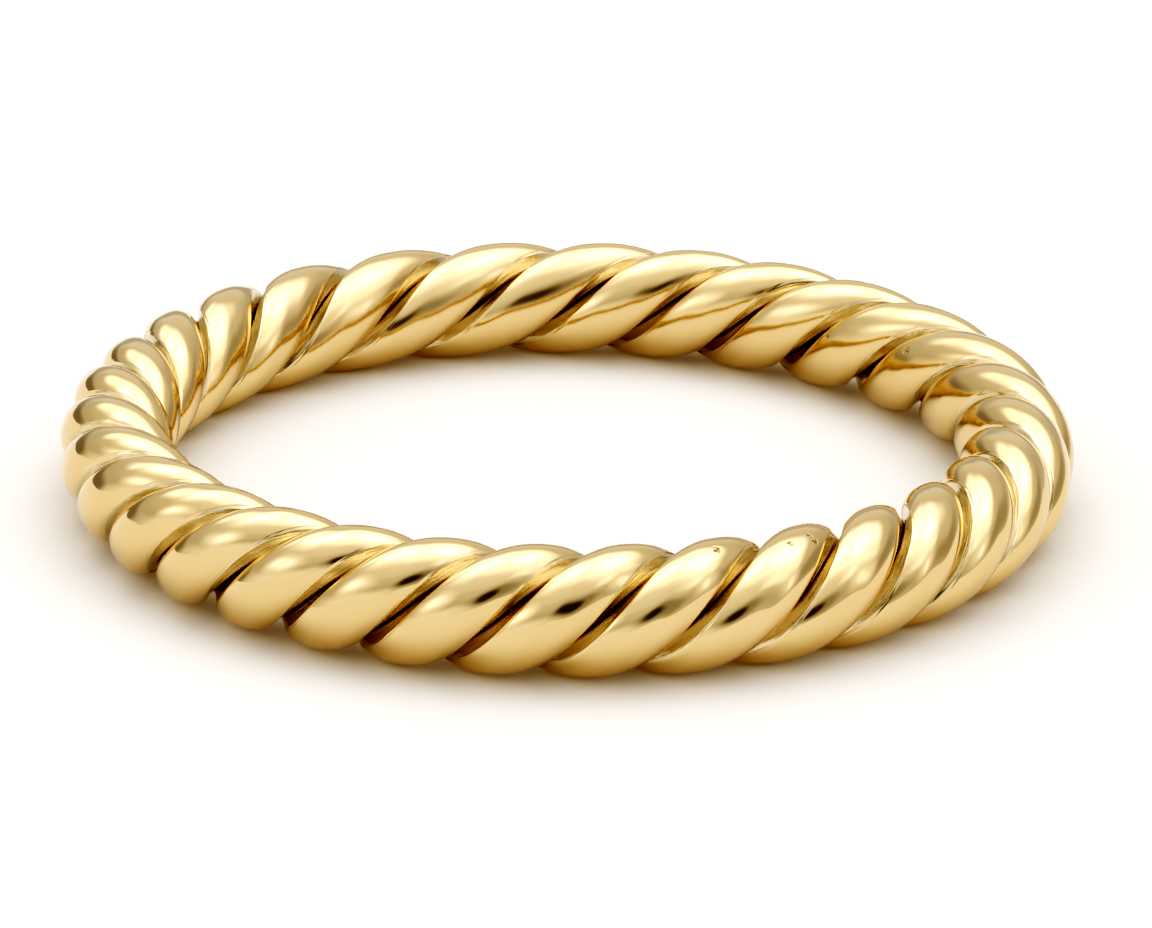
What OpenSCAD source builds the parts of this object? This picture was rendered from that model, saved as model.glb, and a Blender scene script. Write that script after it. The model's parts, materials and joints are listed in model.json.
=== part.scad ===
// Rope twist ring: a plain band of three gold strands laid up like a rope and closed on itself.
// Millimetres. The ring lies flat, its axis along Z through the origin, its lowest crests on Z = 0.

/* [Ring] */

// Width of the finger hole between the inner crests of the rope
finger_hole = 17.3; // [14:0.1:23]

/* [Rope] */

// Thickness of the rope between the finger and the outside
rope_thickness = 2.5; // [1.8:0.05:4]

// Height of the rope along the finger
rope_height = 2.7; // [2:0.05:4.5]

// Turns that each strand makes round the rope in one lap of the ring
turns = 10; // [7:1:13]

// Angle about the rope at which the first strand starts at the right of the ring, if laid evenly
start_angle = -57; // [-180:1:180]

// How far the hand-laid twist runs ahead of an even one, in degrees, where it leads most
twist_lead = 80; // [0:1:90]

// Where round the ring it leads most, counted from the right of the ring towards the back
lead_place = -14; // [-180:1:180]

/* [Strand] */

// Depth of the groove between two strands, measured from the crest
groove_depth = 0.48; // [0.35:0.01:0.7]

// How far the polished crown falls from the crest to its edge
crown_fall = 0.19; // [0.1:0.01:0.32]

// Roundness of the crown's section: 2 for an arc, more for a flatter top with rounder edges
crown_roundness = 2.4; // [2:0.1:3]

// Share of a strand's width that is polished crown, the rest being the flanks of the grooves
crown_share = 0.8; // [0.5:0.01:0.9]

// Clear gap between two strands in the grooves
strand_gap = 0.06; // [0.04:0.01:0.12]

// Half width of the hollow that the strands leave along the middle of the rope
core_radius = 0.2; // [0.12:0.01:0.35]

/* [Hidden] */

NODES = ["strand_a", "strand_b", "strand_c"];

gold = [0.85, 0.66, 0.32];
strand_count = len(NODES);
ring_radius = (finger_hole + rope_thickness) / 2;
half_thickness = rope_thickness / 2;
half_height = rope_height / 2;
rope_radius = (half_thickness + half_height) / 2;
half_sector = 180 / strand_count;

// Facets: their length along the ring and their width across a crown, and how many that makes
facet_length = 0.26;
facet_width = 0.33;
sections = round(2 * PI * ring_radius / facet_length);
half_crown = PI * rope_radius * crown_share / strand_count;
crown_facets = 2 * round(half_crown / facet_width);
right_groove = crown_facets + 2;
section_points = right_groove + 3;

// Smaller wavers of the hand-laid twist, each as [times in a lap, degrees ahead at most, where]
TIMES = 0;
AHEAD = 1;
PLACE = 2;
wavers = [[2, 5, 63], [3, 7, 92], [4, 6, 0]];

// How far all the wavers together run ahead at an angle round the ring
function waver_at(round, i = 0) =
    i == len(wavers)
        ? 0
        : wavers[i][AHEAD] * cos(wavers[i][TIMES] * (round - wavers[i][PLACE]))
            + waver_at(round, i + 1);

// Angle about the rope, at an angle round the ring, of the first strand's crest
function twist_at(round) =
    start_angle + turns * round + twist_lead * cos(round - lead_place) + waver_at(round);

// Fall of the surface below the crest, for a share of the way from the crest to the groove
function fall_at(share) =
    share <= crown_share
        ? crown_fall * pow(share / crown_share, crown_roundness)
        : crown_fall + (groove_depth - crown_fall) * (share - crown_share) / (1 - crown_share);

// Angle that half the gap takes away at a radius in the rope
function gap_angle(radius) = asin(strand_gap / 2 / radius);

// Place across a strand of a point of its section, from -1 in the left groove to 1 in the right one.
// The points in between divide the crown, and the last two are the corners at the core.
function across_at(i) =
    i == 0 || i == right_groove + 2 ? -1
    : i == right_groove || i == right_groove + 1 ? 1
    : crown_share * (2 * (i - 1) / crown_facets - 1);

// One point of a strand's section as [radius, angle from its crest]
function section_point(i) =
    let (across = across_at(i),
         radius = i > right_groove ? core_radius : rope_radius - fall_at(abs(across)))
    [radius, across * (half_sector - gap_angle(radius))];

// A point of a section, placed in the oval rope and then round the ring
function placed(point, crest, round) =
    let (share = point[0] / rope_radius,
         angle = crest + point[1],
         out = ring_radius + half_thickness * share * cos(angle),
         up = half_height + half_height * share * sin(angle))
    [out * cos(round), out * sin(round), up];

// Two triangles between neighbouring sections. Below the right groove the diagonal runs the other
// way, so that the facing sides of two strands are parallel.
function facet(s, i) =
    let (next_s = (s + 1) % sections,
         next_i = (i + 1) % section_points,
         a = s * section_points + i,
         b = s * section_points + next_i,
         c = next_s * section_points + next_i,
         d = next_s * section_points + i)
    i == right_groove ? [[a, b, c], [a, c, d]] : [[a, b, d], [b, c, d]];

// A strand, wound round the rope's middle and closed on itself after one lap
module strand(number) {
    color(gold)
        polyhedron(
            points = [
                for (s = [0 : sections - 1])
                    let (round = 360 * s / sections,
                         crest = twist_at(round) + 360 * number / strand_count)
                    for (i = [0 : section_points - 1])
                        placed(section_point(i), crest, round)
            ],
            faces = [
                for (s = [0 : sections - 1], i = [0 : section_points - 1])
                    each facet(s, i)
            ]
        );
}

module strand_a() { strand(0); }
module strand_b() { strand(1); }
module strand_c() { strand(2); }

strand_a();
strand_b();
strand_c();
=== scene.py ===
import json
import math

import bpy
import numpy as np
from mathutils import Matrix, Vector


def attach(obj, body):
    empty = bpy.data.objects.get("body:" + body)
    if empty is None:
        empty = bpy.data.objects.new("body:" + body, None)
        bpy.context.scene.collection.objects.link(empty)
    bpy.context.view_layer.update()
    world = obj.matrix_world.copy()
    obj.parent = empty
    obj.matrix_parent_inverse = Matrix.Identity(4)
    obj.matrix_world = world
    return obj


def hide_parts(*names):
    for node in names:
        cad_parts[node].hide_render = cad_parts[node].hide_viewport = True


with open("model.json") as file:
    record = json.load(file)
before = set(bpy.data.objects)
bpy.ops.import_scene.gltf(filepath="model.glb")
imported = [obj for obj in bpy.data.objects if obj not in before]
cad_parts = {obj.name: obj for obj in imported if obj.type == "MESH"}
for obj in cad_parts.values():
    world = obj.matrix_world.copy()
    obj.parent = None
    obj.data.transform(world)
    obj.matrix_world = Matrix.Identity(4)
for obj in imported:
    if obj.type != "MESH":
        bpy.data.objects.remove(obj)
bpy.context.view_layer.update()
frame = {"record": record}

MM = 0.001

# The rope, as the frame has it
STRANDS = ["strand_a", "strand_b", "strand_c"]
FINGER_RADIUS = frame["record"]["mounts"][0]["dims"]["r_mm"] * MM
ROPE_HEIGHT = frame["record"]["mounts"][0]["dims"]["length_mm"] * MM
ROPE_THICKNESS = 2.5 * MM
RING_RADIUS = FINGER_RADIUS + ROPE_THICKNESS / 2
ROPE_RADIUS = (ROPE_THICKNESS + ROPE_HEIGHT) / 4
TURNS = 10
START_ANGLE = math.radians(-57)
TWIST_LEAD = math.radians(80)
LEAD_PLACE = math.radians(-14)
WAVERS = [
    # times in a lap, degrees ahead at most, where
    (2, 5, 63),
    (3, 7, 92),
    (4, 6, 0),
]

# One strand's section, falls measured inwards from the crest
HALF_SECTOR = math.pi / len(STRANDS)
CROWN_SHARE = 0.80
CROWN_FALL = 0.19 * MM
CROWN_ROUNDNESS = 2.4
GROOVE_DEPTH = 0.48 * MM
GROOVE_HOLLOW = 1.3  # 1 for straight flanks, more for flanks that round out towards the bottom
EDGE_SHARE = 0.02  # share of a strand's half width over which the crown's edge is rounded
STRAND_GAP = 0.05 * MM
CORE_RADIUS = 0.2 * MM
STATIONS = 1500
CROWN_POINTS = 35
FLANK_POINTS = 6


def twist_at(around):
    """Angle about the rope of the first strand's crest, at angles round the ring."""
    twist = START_ANGLE + TURNS * around + TWIST_LEAD * np.cos(around - LEAD_PLACE)
    for times, ahead, where in WAVERS:
        twist = twist + math.radians(ahead) * np.cos(times * (around - math.radians(where)))
    return twist


def fall_at(share):
    """Fall below the crest: a full crown, then a flank that is steep at first and rounds out below."""
    crown = CROWN_FALL * (share / CROWN_SHARE) ** CROWN_ROUNDNESS
    down_flank = np.clip((share - CROWN_SHARE) / (1 - CROWN_SHARE), 0, 1)
    flank = (GROOVE_DEPTH - CROWN_FALL) * (1 - (1 - down_flank) ** GROOVE_HOLLOW)
    return np.where(share < CROWN_SHARE, crown, CROWN_FALL + flank)


def section():
    """Radius, angle from the crest, and place across the strand, once round a strand's section."""
    crown = np.linspace(0, CROWN_SHARE - EDGE_SHARE, CROWN_POINTS // 2 + 1)
    flank = np.linspace(CROWN_SHARE, 1, FLANK_POINTS)
    half = np.concatenate([crown, flank])
    across = np.concatenate([-half[:0:-1], half])
    radius = ROPE_RADIUS - fall_at(np.abs(across))
    radius = np.concatenate([radius, [CORE_RADIUS, CORE_RADIUS]])
    place = np.concatenate([across, [1, -1]])
    angle = place * (HALF_SECTOR - np.arcsin(STRAND_GAP / 2 / radius))
    return radius, angle, place


def on_rope(around, about, radius=ROPE_RADIUS):
    """Point at an angle round the ring, an angle about the rope and a radius in it."""
    share = radius / ROPE_RADIUS
    out = RING_RADIUS + ROPE_THICKNESS / 2 * share * np.cos(about)
    up = ROPE_HEIGHT / 2 * (1 + share * np.sin(about))
    return np.stack([out * np.cos(around), out * np.sin(around), up], axis=-1)


def on_surface(around, about):
    """Point of the strands' surface at an angle round the ring and an angle about the rope."""
    from_crest = (about - twist_at(around) + HALF_SECTOR) % (2 * HALF_SECTOR) - HALF_SECTOR
    return on_rope(around, about, ROPE_RADIUS - fall_at(abs(from_crest) / HALF_SECTOR))


def strand(number):
    """A strand, wound round the rope's middle and closed on itself after one lap."""
    radius, angle, place = section()
    count = len(radius)
    around = np.linspace(0, 2 * math.pi, STATIONS, endpoint=False)[:, None]
    crest = twist_at(around) + 2 * math.pi * number / len(STRANDS)
    points = on_rope(around, crest + angle, radius).reshape(-1, 3)
    here = (np.arange(STATIONS) * count)[:, None]
    ahead = (np.roll(np.arange(STATIONS), -1) * count)[:, None]
    i = np.arange(count)
    j = np.roll(i, -1)
    quads = np.stack([here + i, here + j, ahead + j, ahead + i], axis=-1).reshape(-1, 4)
    mesh = bpy.data.meshes.new(STRANDS[number] + "_gold")
    mesh.from_pydata(points.tolist(), [], quads.tolist())
    mesh.polygons.foreach_set("use_smooth", [True] * len(mesh.polygons))
    across = mesh.attributes.new("place", "FLOAT", "POINT")
    across.data.foreach_set("value", np.tile(place, STATIONS).astype(np.float32))
    mesh.update()
    return bpy.data.objects.new(mesh.name, mesh)


def new_group(name, inputs, outputs):
    """An empty shader node group with named sockets, and its input and output nodes."""
    tree = bpy.data.node_groups.new(name, "ShaderNodeTree")
    for socket, kind, value in inputs:
        tree.interface.new_socket(socket, in_out="INPUT", socket_type=kind).default_value = value
    for socket, kind in outputs:
        tree.interface.new_socket(socket, in_out="OUTPUT", socket_type=kind)
    return tree, tree.nodes.new("NodeGroupInput"), tree.nodes.new("NodeGroupOutput")


def feed(tree, socket, value):
    """Link a socket to another node's output, or set it to a number or a colour."""
    if isinstance(value, bpy.types.NodeSocket):
        tree.links.new(value, socket)
    else:
        socket.default_value = value


def place_group(tree, group, **values):
    """A node for a group, its named inputs linked or set."""
    node = tree.nodes.new("ShaderNodeGroup")
    node.node_tree = group
    for name, value in values.items():
        feed(tree, node.inputs[name.replace("_", " ")], value)
    return node


def calc(tree, operation, *values):
    """Output of a math node."""
    node = tree.nodes.new("ShaderNodeMath")
    node.operation = operation
    for socket, value in zip(node.inputs, values):
        feed(tree, socket, value)
    return node.outputs[0]


def blend(tree, factor, low, high):
    """Value that goes from low to high with the factor."""
    node = tree.nodes.new("ShaderNodeMix")
    feed(tree, node.inputs[0], factor)
    feed(tree, node.inputs[2], low)
    feed(tree, node.inputs[3], high)
    return node.outputs[0]


def blend_colour(tree, factor, low, high):
    """Colour that goes from low to high with the factor."""
    node = tree.nodes.new("ShaderNodeMix")
    node.data_type = "RGBA"
    feed(tree, node.inputs[0], factor)
    feed(tree, node.inputs[6], low)
    feed(tree, node.inputs[7], high)
    return node.outputs[2]


def join(tree, x, y, z=0):
    """Vector of three values."""
    node = tree.nodes.new("ShaderNodeCombineXYZ")
    for socket, value in zip(node.inputs, (x, y, z)):
        feed(tree, socket, value)
    return node.outputs[0]


def vector_calc(tree, operation, *values):
    """Vector output of a vector math node."""
    node = tree.nodes.new("ShaderNodeVectorMath")
    node.operation = operation
    for socket, value in zip(node.inputs, values):
        feed(tree, socket, value)
    return node.outputs["Vector"]


def vector_length(tree, vector):
    """Length of a vector."""
    node = tree.nodes.new("ShaderNodeVectorMath")
    node.operation = "LENGTH"
    feed(tree, node.inputs[0], vector)
    return node.outputs["Value"]


def step(tree, value, start, end):
    """0 at start, 1 at end, whichever is greater, and smooth between them."""
    node = tree.nodes.new("ShaderNodeMapRange")
    node.interpolation_type = "SMOOTHSTEP"
    feed(tree, node.inputs["Value"], value)
    feed(tree, node.inputs["From Min"], start)
    feed(tree, node.inputs["From Max"], end)
    return node.outputs["Result"]


def noise(tree, vector, scale, detail=2.0, roughness=0.5):
    """Soft noise from 0 to 1 at a scale per metre."""
    node = tree.nodes.new("ShaderNodeTexNoise")
    feed(tree, node.inputs["Vector"], vector)
    node.inputs["Scale"].default_value = scale
    node.inputs["Detail"].default_value = detail
    node.inputs["Roughness"].default_value = roughness
    return node.outputs["Fac"]


def drawn_streaks(tree, where, place, across, along, detail):
    """Noise drawn out along the strands, by its scale across a strand's half and per metre along it."""
    split = tree.nodes.new("ShaderNodeSeparateXYZ")
    tree.links.new(where, split.inputs[0])
    line = join(tree, calc(tree, "MULTIPLY", place, across),
                calc(tree, "MULTIPLY", split.outputs["X"], along),
                calc(tree, "MULTIPLY", split.outputs["Y"], along))
    return noise(tree, line, 1.0, detail, 0.6)


def pit():
    """Group: a small pit or nick, 1 at its centre and 0 from its edge on."""
    tree, given, result = new_group(
        "pit",
        [("Where", "NodeSocketVector", (0, 0, 0)), ("Centre", "NodeSocketVector", (0, 0, 0)),
         ("Size", "NodeSocketFloat", 0.1 * MM)],
        [("Mask", "NodeSocketFloat")])
    apart = tree.nodes.new("ShaderNodeVectorMath")
    apart.operation = "DISTANCE"
    tree.links.new(given.outputs["Where"], apart.inputs[0])
    tree.links.new(given.outputs["Centre"], apart.inputs[1])
    share = calc(tree, "DIVIDE", apart.outputs["Value"], given.outputs["Size"])
    tree.links.new(step(tree, share, 1, 0.3), result.inputs["Mask"])
    return tree


# Casting pits and nicks in the polish
PITS = [
    # angle round the ring, angle about the rope, radius in mm
    (287.3, 77.3, 0.13),
    (295.9, 71.1, 0.09),
    (299.0, 78.9, 0.08),
    (299.3, 71.9, 0.10),
    (46.5, 166, 0.07),
    (29.0, 148, 0.12),
    (205.6, 76, 0.07),
]


def bump(tree, height, depth, normal=None):
    """Normal of a surface that is raised by a height times a depth."""
    node = tree.nodes.new("ShaderNodeBump")
    node.inputs["Distance"].default_value = depth
    feed(tree, node.inputs["Height"], height)
    if normal is not None:
        feed(tree, node.inputs["Normal"], normal)
    return node.outputs["Normal"]


# The gold's colours: a darker and a lighter shade of the polished and of the worn metal, and one shade
# each for the bottom of the grooves and for the pits
POLISHED = ((0.77, 0.61, 0.375, 1), (0.81, 0.65, 0.415, 1))
WORN = ((0.72, 0.61, 0.42, 1), (0.83, 0.72, 0.53, 1))
GROOVE_BOTTOM = (0.70, 0.60, 0.44, 1)
PITTED = (0.38, 0.30, 0.18, 1)

# Roughness, from the smoothest places of each finish to its roughest
OUTER_SHINE = (0.04, 0.08)
INNER_SHINE = (0.13, 0.19)
GROOVE_ROUGHNESS = (0.12, 0.24)
PIT_ROUGHNESS = 0.5

# Where each finish starts and has fully set in, in shares of a strand's half width
GROOVE_FINISH = (0.80, 0.84)
BOTTOM_FINISH = (0.84, 0.97)
RAGGEDNESS = 0.05

# Distance from the ring's axis over which the inner side's softer shine gives way to the outer one's
INNER_TO_OUTER = (RING_RADIUS - 0.6 * MM, RING_RADIUS + 0.3 * MM)

# Fineness of the patterns per metre, and of the drawn ones across a strand's half width as well
HAZE = 0.5 / MM
WAVER = 0.6 / MM
RAGGED = 1.5 / MM
GRAIN = 14 / MM
SPECKLE = 16 / MM
BROAD_STREAKS = {"across": 2.2, "along": 0.25 / MM, "detail": 0.0}
FINE_STREAKS = {"across": 14, "along": 0.8 / MM, "detail": 3.0}

# Heights of the relief, each where its pattern is 1
WAVER_HEIGHT = 0.022 * MM
SCORE_HEIGHT = 0.004 * MM
PIT_DEPTH = 0.02 * MM


def pitted_places(tree, where, pit_group):
    """Mask of all the pits, broken up into specks."""
    spots = 0
    for round_ring, about_rope, size in PITS:
        centre = on_surface(math.radians(round_ring), math.radians(about_rope))
        mask = place_group(tree, pit_group, Where=where, Centre=tuple(centre.tolist()), Size=size * MM)
        spots = calc(tree, "MAXIMUM", mask.outputs["Mask"], spots)
    return calc(tree, "MULTIPLY", spots, step(tree, noise(tree, where, SPECKLE), 0.40, 0.60))


def gold(pit_group):
    """Yellow gold: polished crowns with a hand's waver, and scored, grained metal in the grooves."""
    material = bpy.data.materials.new("gold")
    material.use_nodes = True
    tree = material.node_tree
    shader = tree.nodes["Principled BSDF"]
    shader.inputs["Metallic"].default_value = 1
    where = tree.nodes.new("ShaderNodeTexCoord").outputs["Object"]
    place = tree.nodes.new("ShaderNodeAttribute")
    place.attribute_name = "place"
    place = place.outputs["Fac"]

    # The polish ends at a slightly ragged line along each crown's edge
    ragged = calc(tree, "MULTIPLY", calc(tree, "SUBTRACT", noise(tree, where, RAGGED), 0.5), RAGGEDNESS)
    aside = calc(tree, "ADD", calc(tree, "ABSOLUTE", place), ragged)
    groove = step(tree, aside, *GROOVE_FINISH)
    bottom = step(tree, aside, *BOTTOM_FINISH)

    streak = step(tree, drawn_streaks(tree, where, place, **FINE_STREAKS), 0.38, 0.66)
    grain = noise(tree, where, GRAIN, 2.0, 0.6)
    haze = noise(tree, where, HAZE, 3.0)
    pitted = pitted_places(tree, where, pit_group)

    worn = blend_colour(tree, bottom, blend_colour(tree, streak, *WORN), GROOVE_BOTTOM)
    colour = blend_colour(tree, groove, blend_colour(tree, haze, *POLISHED), worn)
    tree.links.new(blend_colour(tree, pitted, colour, PITTED), shader.inputs["Base Color"])

    # The inner side, which no buff reaches well, keeps a softer shine than the outer one
    from_axis = vector_length(tree, vector_calc(tree, "MULTIPLY", where, (1, 1, 0)))
    outer = step(tree, from_axis, *INNER_TO_OUTER)
    shine = blend(tree, outer, blend(tree, haze, *INNER_SHINE), blend(tree, haze, *OUTER_SHINE))
    rough = blend(tree, groove, shine, blend(tree, grain, *GROOVE_ROUGHNESS))
    tree.links.new(blend(tree, pitted, rough, PIT_ROUGHNESS), shader.inputs["Roughness"])

    waver = calc(tree, "ADD", noise(tree, where, WAVER, 1.0),
                 drawn_streaks(tree, where, place, **BROAD_STREAKS))
    crown_relief = calc(tree, "MULTIPLY", waver, calc(tree, "SUBTRACT", 1, groove))
    scores = calc(tree, "ADD", streak, calc(tree, "MULTIPLY", grain, 0.5))
    normal = bump(tree, crown_relief, WAVER_HEIGHT)
    normal = bump(tree, calc(tree, "MULTIPLY", groove, scores), SCORE_HEIGHT, normal)
    normal = bump(tree, calc(tree, "SUBTRACT", 1, pitted), PIT_DEPTH, normal)
    tree.links.new(normal, shader.inputs["Normal"])
    return material


def table():
    """The pale surface that the ring lies on, glowing faintly warm: painted light in its shadows."""
    half = 3.0  # metres, so that its edge lies far outside the photograph's view
    mesh = bpy.data.meshes.new("table")
    corners = [(-half, -half, 0), (half, -half, 0), (half, half, 0), (-half, half, 0)]
    mesh.from_pydata(corners, [], [(0, 1, 2, 3)])
    material = bpy.data.materials.new("white_paper_with_painted_glow")
    material.use_nodes = True
    shader = material.node_tree.nodes["Principled BSDF"]
    shader.inputs["Base Color"].default_value = (0.765, 0.755, 0.755, 1)
    shader.inputs["Roughness"].default_value = 0.95
    shader.inputs["Specular IOR Level"].default_value = 0.1
    # Painted light: the table glows faintly and warmly though it is no lamp, lifting its shadows near the
    # ring and tinting them warm
    shader.inputs["Emission Color"].default_value = (1.0, 0.85, 0.60, 1)
    shader.inputs["Emission Strength"].default_value = 0.12
    mesh.materials.append(material)
    top = bpy.data.objects.new("table", mesh)
    bpy.context.scene.collection.objects.link(top)


def camera():
    """The photograph's view: 20 degrees above the table, ten ring radii away."""
    image_width, image_height = 1152, 928
    ring_radius_px = 448.4
    ring_centre_px = (567.1, 439.6)
    distance = 10 * RING_RADIUS
    elevation = math.radians(20.28)
    roll = math.radians(0.80)
    data = bpy.data.cameras.new("camera")
    data.sensor_fit = "HORIZONTAL"
    data.sensor_width = 36
    data.lens = ring_radius_px * distance / RING_RADIUS / image_width * data.sensor_width
    data.shift_x = (image_width / 2 - ring_centre_px[0]) / image_width
    data.shift_y = (ring_centre_px[1] - image_height / 2) / image_width
    data.clip_start = 0.001
    back = Vector((0, -math.cos(elevation), math.sin(elevation)))
    right = Vector((1, 0, 0))
    up = Vector((0, math.sin(elevation), math.cos(elevation)))
    rolled_right = right * math.cos(roll) + up * math.sin(roll)
    rolled_up = up * math.cos(roll) - right * math.sin(roll)
    turn = Matrix((rolled_right, rolled_up, back)).transposed().to_4x4()
    viewer = bpy.data.objects.new("camera", data)
    viewer.matrix_world = Matrix.Translation(Vector((0, 0, ROPE_HEIGHT / 2)) + back * distance) @ turn
    bpy.context.scene.collection.objects.link(viewer)
    bpy.context.scene.camera = viewer


def soft_patch():
    """Group: light with an oval patch of the studio blended in. A direction times the scale plus the
    offset has length 1 at the patch's edge, which is soft from Inner to Outer."""
    tree, given, result = new_group(
        "soft_patch",
        [("Light", "NodeSocketFloat", 1), ("Direction", "NodeSocketVector", (0, 0, 0)),
         ("Scale", "NodeSocketVector", (1, 1, 0)), ("Offset", "NodeSocketVector", (0, 0, 0)),
         ("Inner", "NodeSocketFloat", 0.5), ("Outer", "NodeSocketFloat", 1.5),
         ("Brightness", "NodeSocketFloat", 1)],
        [("Light", "NodeSocketFloat")])
    apart = vector_calc(tree, "MULTIPLY_ADD", given.outputs["Direction"], given.outputs["Scale"],
                        given.outputs["Offset"])
    mask = step(tree, vector_length(tree, apart), given.outputs["Outer"], given.outputs["Inner"])
    light = blend(tree, mask, given.outputs["Light"], given.outputs["Brightness"])
    tree.links.new(light, result.inputs["Light"])
    return tree


# The studio: brightness by height, then patches over it in turn. Azimuth 0 lies beyond the ring, 90 to
# its right and 180 straight behind the viewer. Patches with an azimuth above BEHIND are placed by
# azimuths from 0 to 360, so that they don't break off at 180, and the others by -180 to 180.
BEHIND = 150
STUDIO_HEIGHTS = [(0, 0.72), (15, 0.68), (35, 0.80), (45, 0.92), (62, 1.0), (78, 1.5)]
STUDIO_PATCHES = [
    # azimuth, elevation, half width, half height, softness, brightness
    (230, 4, 48, 12, 0.6, 1.06),
    (22, 68, 120, 24, 0.35, 1.72),
    (112, 46, 32, 12, 0.5, 1.48),
    (-34, 41, 18, 10, 0.5, 1.55),
    (-45, 70, 32, 14, 0.6, 2.30),
    (62, 70, 42, 14, 0.6, 2.30),
    (0, 18, 24, 22, 0.5, 0.86),
    (0, 4, 34, 9, 0.4, 0.60),
    (75, 13, 26, 10, 0.6, 0.54),
    (-46, 4, 22, 8, 0.5, 0.38),
    (166, 18, 24, 15, 0.4, 0.48),
    (172, 18, 12, 9, 0.45, 0.18),
    (-111, 29, 24, 13, 0.6, 1.30),
    (-110, 30, 13, 7, 0.6, 1.65),
    (113, 24, 14, 18, 0.6, 1.08),
    (113, 20, 5, 9, 0.6, 1.40),
]


def sky():
    """The studio's soft light: a bright ceiling, darker walls, and soft lamps to the left and right."""
    world = bpy.data.worlds.new("studio")
    world.use_nodes = True
    tree = world.node_tree
    where = tree.nodes.new("ShaderNodeTexCoord").outputs["Generated"]
    split = tree.nodes.new("ShaderNodeSeparateXYZ")
    tree.links.new(where, split.inputs[0])
    x, y, z = split.outputs
    azimuth = calc(tree, "DEGREES", calc(tree, "ARCTAN2", x, y))
    elevation = calc(tree, "DEGREES", calc(tree, "ARCSINE", z))
    light = STUDIO_HEIGHTS[0][1]
    for (low, _), (high, value) in zip(STUDIO_HEIGHTS, STUDIO_HEIGHTS[1:]):
        light = blend(tree, step(tree, elevation, low, high), light, value)
    ahead = join(tree, azimuth, elevation)
    behind = join(tree, calc(tree, "WRAP", azimuth, 360, 0), elevation)
    patch = soft_patch()
    for centre, height, half_width, half_height, softness, value in STUDIO_PATCHES:
        light = place_group(tree, patch, Light=light, Direction=behind if centre > BEHIND else ahead,
                            Scale=(1 / half_width, 1 / half_height, 0),
                            Offset=(-centre / half_width, -height / half_height, 0),
                            Inner=1 - softness, Outer=1 + softness, Brightness=value).outputs["Light"]
    background = tree.nodes["Background"]
    background.inputs["Color"].default_value = (1, 1, 1, 1)
    tree.links.new(light, background.inputs["Strength"])
    bpy.context.scene.world = world


# The photograph's contrast: light from the scene, and the light that the print shows for it
CONTRAST = [(0.134, 0.005), (0.19, 0.029), (0.289, 0.132), (0.456, 0.363), (0.572, 0.526), (0.718, 0.718)]
WHITE_POINT = (0.96, 1.0)


def contrast():
    """The photograph's contrast, which deepens the dark tones and makes them more yellow."""
    view = bpy.context.scene.view_settings
    view.view_transform = "Standard"
    view.use_curve_mapping = True
    tone = view.curve_mapping.curves[3]
    tone.points[-1].location = WHITE_POINT
    for seen, shown in CONTRAST:
        tone.points.new(seen, shown)
    view.curve_mapping.update()


camera()
table()
sky()
contrast()
gold_finish = gold(pit())
for number, name in enumerate(STRANDS):
    piece = strand(number)
    piece.data.materials.append(gold_finish)
    bpy.context.scene.collection.objects.link(piece)
    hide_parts(name)
    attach(piece, "root")
